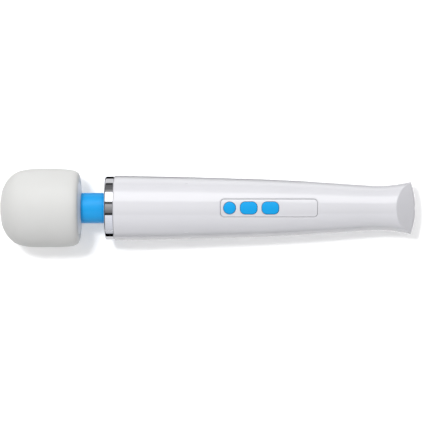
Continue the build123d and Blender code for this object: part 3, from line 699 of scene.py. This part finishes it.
# ----------------------------------------------------------------- panel, buttons
def crowned_plate(name, outer, holes, top, bottom, edge, hole_edge, mat, spacing=0.9, crown=0.0):
    """A plate whose top follows a surface, with rounded edges round its outline and its holes."""
    loops = []
    steps = np.array([0.0, 0.12, 0.3, 0.55, 0.8, 1.0])
    for s in steps:
        loops.append((grow(outer, -edge * s), edge * (1 - math.sqrt(max(0.0, 1 - (1 - s) ** 2)))))
        for h in holes:
            loops.append((grow(h, hole_edge * s), hole_edge * (1 - math.sqrt(max(0.0, 1 - (1 - s) ** 2)))))
    verts, drops, edges = [], [], []
    for lp, drop in loops:
        b = len(verts); n = len(lp)
        verts += [Vector((float(p[0]), float(p[1]))) for p in lp]; drops += [drop] * n
        edges += [(b + i, b + (i + 1) % n) for i in range(n)]
    o_in = grow(outer, -edge * 1.0)

    def inside(poly, x, y):
        c = np.zeros(len(x), bool); j = len(poly) - 1
        for i in range(len(poly)):
            xi, yi, xj, yj = poly[i][0], poly[i][1], poly[j][0], poly[j][1]
            m = ((yi > y) != (yj > y)) & (x < (xj - xi) * (y - yi) / (yj - yi + 1e-12) + xi)
            c ^= m; j = i
        return c
    lo, hi = outer.min(0), outer.max(0)
    gx, gy = np.meshgrid(np.arange(lo[0], hi[0], spacing), np.arange(lo[1], hi[1], spacing))
    gx, gy = gx.ravel() + 0.13, gy.ravel() + 0.11
    ok = inside(grow(o_in, -0.3), gx, gy)
    for h in holes:
        ok &= ~inside(grow(h, hole_edge + 0.3), gx, gy)
    for x, y in zip(gx[ok], gy[ok]):
        verts.append(Vector((float(x), float(y)))); drops.append(0.0)
    v2, _, f2, ov, _, _ = delaunay_2d_cdt(verts, edges, [], 0, 1e-7)
    xy = np.array([(v.x, v.y) for v in v2])
    drop = np.array([drops[o[0]] if o else 0.0 for o in ov])
    cen = np.array([xy[list(f)].mean(0) for f in f2])
    keep = inside(outer, cen[:, 0], cen[:, 1])
    for h in holes:
        keep &= ~inside(h, cen[:, 0], cen[:, 1])
    f2 = [tuple(f) for f, k in zip(f2, keep) if k]
    z = top(xy[:, 0], xy[:, 1]) - drop
    if crown:
        c = outer.mean(0); rx, ry = (hi - lo) / 2
        z = z + crown * (1 - np.clip(((xy[:, 0] - c[0]) / rx) ** 2 + ((xy[:, 1] - c[1]) / ry) ** 2, 0, 1.0))
    pts = [tuple(p) for p in np.stack([xy[:, 0], xy[:, 1], z], 1)]
    # find the boundary of the kept faces, and wall it down
    count = {}
    for f in f2:
        for a, b in zip(f, f[1:] + f[:1]):
            count[(a, b)] = count.get((a, b), 0) + 1
    rim = [(a, b) for (a, b) in count if (b, a) not in count]
    faces = list(f2)
    low = {}
    for v in {v for e in rim for v in e}:
        low[v] = len(pts)
        zb = bottom(xy[v, 0], xy[v, 1]) if callable(bottom) else bottom
        pts.append((xy[v, 0], xy[v, 1], float(zb)))
    faces += [(b, a, low[a], low[b]) for a, b in rim]
    # bottom: triangulate the same rim
    names = list(low); idx = {v: i for i, v in enumerate(names)}
    bv = [Vector((float(xy[v, 0]), float(xy[v, 1]))) for v in names]
    v3, _, f3, o3, _, _ = delaunay_2d_cdt(bv, [(idx[a], idx[b]) for a, b in rim], [], 0, 1e-7)
    xy3 = np.array([(v.x, v.y) for v in v3])
    for f in f3:
        c = xy3[list(f)].mean(0)[None]
        if inside(outer, c[:, 0], c[:, 1])[0] and not any(inside(h, c[:, 0], c[:, 1])[0] for h in holes):
            faces.append(tuple(low[names[o3[i][0]]] for i in reversed(f)))
    pts = np.array(pts)
    faces = outward(pts, faces)
    ob = new_object(name, pts, faces, 45)
    return ob


BUTTONS = {"power": (181.9, 9.5, 9.5, 4.74), "intensity": (196.9, 13.3, 9.7, 3.9), "pattern": (213.9, 13.3, 9.7, 3.9)}
holes = [rrect(x, 0, l + 0.44, w + 0.44, c + 0.22, 14, 0.7) for x, l, w, c in BUTTONS.values()]
panel = crowned_plate("button_panel_moulding", rrect(PX, 0, PL, PW, PC), holes, lambda x, y: form_top(x, y),
                      lambda x, y: form_top(x, y, -WALL - 0.9), 0.5, 0.42, PANEL)
smart_normals(panel, 45, [form_rule])
finish_piece(panel, PANEL, "handle", ["button_panel"])
for name, (x, l, w, c) in BUTTONS.items():
    skirt = float(HALF_H(x)[0]) - 5.35
    ob = crowned_plate(name + "_button_cap", rrect(x, 0, l, w, c, 16, 0.6), [], lambda px, py: form_top(px, py, 0.8) - 0.12, skirt, 0.75, 0.0, BUTTON, 0.7, 0.12)
    finish_piece(ob, BUTTON, name + "_key", [name + "_button"])

# ------------------------------------------------------------------ charging port
ang = np.arange(96) * 2 * math.pi / 96
rings = []


def bezel_ring(r, x=None, sink=0.06, drop=0.0):
    y, z = r * np.cos(ang), r * np.sin(ang)
    rings.append(np.stack([np.full(96, x) if x is not None else tail_x(y, z) - sink - drop, y, z], 1))


for r, drop in ((4.97, 0.22), (4.92, 0.08), (4.80, 0.0), (4.4, 0.0), (4.0, 0.0), (3.6, 0.0), (3.3, 0.0), (3.12, 0.05), (2.98, 0.18), (2.9, 0.40)):
    bezel_ring(r, drop=drop)
for x in (326.0, 323.0, 320.5):
    bezel_ring(2.9, x)
bezel_ring(4.97, 320.5)
g = len(rings)
pts = np.concatenate(rings)
faces = [(i * 96 + j, i * 96 + (j + 1) % 96, ((i + 1) % g) * 96 + (j + 1) % 96, ((i + 1) % g) * 96 + j) for i in range(g) for j in range(96)]
finish_piece(new_object("port_bezel_moulding", pts, outward(pts, faces), 35), WHITE, "handle", ["port_bezel"])


# -------------------------------------------------------------------- the setting
def plane(name, corners, mat):
    me = bpy.data.meshes.new(name); me.from_pydata([tuple(c) for c in corners], [], [(0, 1, 2, 3)]); me.update()
    ob = bpy.data.objects.new(name, me); bpy.context.scene.collection.objects.link(ob)
    me.materials.append(mat)
    return ob


floor_mat, nt, b = mat_base("pale_floor", (0.93, 0.93, 0.93), 0.9)
nt.links.new(ramp(nt, noise(nt, object_coords(nt), 3.0, 2.0), [(0.3, (0.925, 0.925, 0.928)), (0.7, (0.935, 0.935, 0.935))]), b.inputs["Base Color"])
b.inputs["Specular IOR Level"].default_value = 0.0
b.inputs["Emission Color"].default_value = (1, 1, 1, 1)
b.inputs["Emission Strength"].default_value = 0.22
plane("floor", [(-30, -30, 0), (30, -30, 0), (30, 30, 0), (-30, 30, 0)], floor_mat)


def glow(name, color):
    m = bpy.data.materials.new(name); m.use_nodes = True; nt = m.node_tree; nt.nodes.clear()
    e = nt.nodes.new("ShaderNodeEmission"); e.inputs["Color"].default_value = (*color, 1)
    o = nt.nodes.new("ShaderNodeOutputMaterial"); nt.links.new(e.outputs[0], o.inputs[0])
    return m


def only_reflected(ob):
    ob.visible_camera = False; ob.visible_diffuse = False; ob.visible_shadow = False
    ob.visible_transmission = False; ob.visible_volume_scatter = False; ob.visible_glossy = True


AXIS_Z = float(row((100.0, 0, 0))[2])


def card(name, a0, a1, level0, level1=None, dist=0.9, n=1, tint=(1, 1, 1)):
    """A long card parallel to the wand, between two angles from the vertical (towards +Y), seen only in reflections."""
    level1 = level0 if level1 is None else level1
    for i in range(n):
        t0, t1 = math.radians(a0 + (a1 - a0) * i / n), math.radians(a0 + (a1 - a0) * (i + 1) / n)
        lv = level0 + (level1 - level0) * (i + 0.5) / n
        c = []
        for x, t in ((-0.55, t0), (0.62, t0), (0.62, t1), (-0.55, t1)):
            c.append((x, dist * math.sin(t), AXIS_Z + 0.012 + dist * math.cos(t)))
        only_reflected(plane(f"{name}_{i}", c, glow(f"{name}_{i}", tuple(lv * k for k in tint))))


def floor_strip(name, y0, y1, level, tint=(1, 1, 1)):
    c = [(-1.6, y0, 0.0006), (1.6, y0, 0.0006), (1.6, y1, 0.0006), (-1.6, y1, 0.0006)]
    only_reflected(plane(name, c, glow(name, tuple(level * k for k in tint))))


card("softbox", 24, 60, 2.0)
card("overhead", -18, 14, 0.14, 0.50, n=6)
card("overhead_gap", 14, 24, 0.12)
card("flag", -26, -18, 0.03)
card("big_card", -88, -26, 0.66, 0.95, n=6, tint=(0.93, 0.95, 1.0))
card("wall", 60, 72, 0.44, 0.20, n=4)
card("low_wall", 72, 92.6, 0.17, 0.13, n=2)
for side, lv in ((-0.57, 0.05), (0.64, 0.06)):
    only_reflected(plane("end_flag_%d" % (side > 0), [(side, -1.3, -0.2), (side, 1.3, -0.2), (side, 1.3, 1.3), (side, -1.3, 1.3)], glow("end_flag_%d" % (side > 0), (lv, lv, lv * 1.1))))
only_reflected(plane("tail_floor_flag", [(0.185, -0.16, 0.0009), (0.64, -0.16, 0.0009), (0.64, 0.16, 0.0009), (0.185, 0.16, 0.0009)], glow("tail_floor_flag", (0.12, 0.12, 0.13))))
floor_strip("near_flag", 0.030, 0.060, 0.0)
floor_strip("mid_floor", 0.060, 0.185, 0.72)
floor_strip("far_flag", 0.185, 0.90, 0.06)
floor_strip("near_floor", -0.074, -0.030, 0.72)
floor_strip("low_flag", -0.165, -0.074, 0.0)
floor_strip("card_foot", -0.90, -0.165, 0.60, (0.93, 0.95, 1.0))

world = bpy.data.worlds.new("studio"); bpy.context.scene.world = world; world.use_nodes = True
wn = world.node_tree; bg = wn.nodes["Background"]
lp = wn.nodes.new("ShaderNodeLightPath"); mix = wn.nodes.new("ShaderNodeMix"); mix.data_type = "RGBA"
tc = wn.nodes.new("ShaderNodeTexCoord"); dot = wn.nodes.new("ShaderNodeVectorMath"); dot.operation = "DOT_PRODUCT"
dot.inputs[1].default_value = (-0.04, 0.47, 0.88)
wn.links.new(tc.outputs["Generated"], dot.inputs[0])
sky = wn.nodes.new("ShaderNodeValToRGB"); wn.links.new(dot.outputs["Value"], sky.inputs["Fac"])
for e, (p, c) in zip([sky.color_ramp.elements[0], sky.color_ramp.elements[1], sky.color_ramp.elements.new(0.45)],
                     [(0.0, 0.22), (1.0, 1.0), (0.45, 0.62)]):
    e.position = p; e.color = (c, c * 1.002, c * 1.02, 1)
sep = wn.nodes.new("ShaderNodeSeparateXYZ"); wn.links.new(tc.outputs["Generated"], sep.inputs[0])
absx = wn.nodes.new("ShaderNodeMath"); absx.operation = "ABSOLUTE"; wn.links.new(sep.outputs["X"], absx.inputs[0])
ends = wn.nodes.new("ShaderNodeMapRange"); wn.links.new(absx.outputs[0], ends.inputs["Value"])
ends.inputs["From Min"].default_value = 0.35; ends.inputs["From Max"].default_value = 1.0
ends.inputs["To Min"].default_value = 1.18; ends.inputs["To Max"].default_value = 0.16
dim = wn.nodes.new("ShaderNodeVectorMath"); dim.operation = "SCALE"
wn.links.new(sky.outputs["Color"], dim.inputs[0]); wn.links.new(ends.outputs["Result"], dim.inputs["Scale"])
wn.links.new(dim.outputs["Vector"], mix.inputs["A"]); mix.inputs["B"].default_value = (1.0, 1.0, 1.0, 1)
wn.links.new(lp.outputs["Is Camera Ray"], mix.inputs["Factor"]); wn.links.new(mix.outputs["Result"], bg.inputs["Color"])
bg.inputs["Strength"].default_value = 1.0


def area(name, loc, target, size, power, color=(1, 1, 1), glossy=False):
    d = bpy.data.lights.new(name, "AREA"); d.shape = "SQUARE"; d.size = size; d.energy = power; d.color = color
    o = bpy.data.objects.new(name, d); bpy.context.scene.collection.objects.link(o)
    o.location = loc; o.rotation_euler = (Vector(target) - Vector(loc)).to_track_quat("-Z", "Y").to_euler()
    o.visible_glossy = glossy
    return o


area("key", (-0.30, 0.31, 1.30), (0.0, 0, 0.02), 0.17, 7.8)

# ------------------------------------------------------------------------- camera
cam = bpy.data.cameras.new("camera"); cam.sensor_width = 36.0; cam.lens = 144.8
co = bpy.data.objects.new("camera", cam); bpy.context.scene.collection.objects.link(co)
co.matrix_world = Matrix([[*(float(EX[i]), float(EY[i]), float(EZ[i])), float(row((LENGTH / 2 + 4.3, -4.3, 1368.0))[i])] for i in range(3)] + [[0, 0, 0, 1]])
cam.clip_start = 0.05; cam.clip_end = 60
bpy.context.scene.camera = co
bpy.context.scene.view_settings.view_transform = "Standard"
bpy.context.scene.view_settings.look = "None"
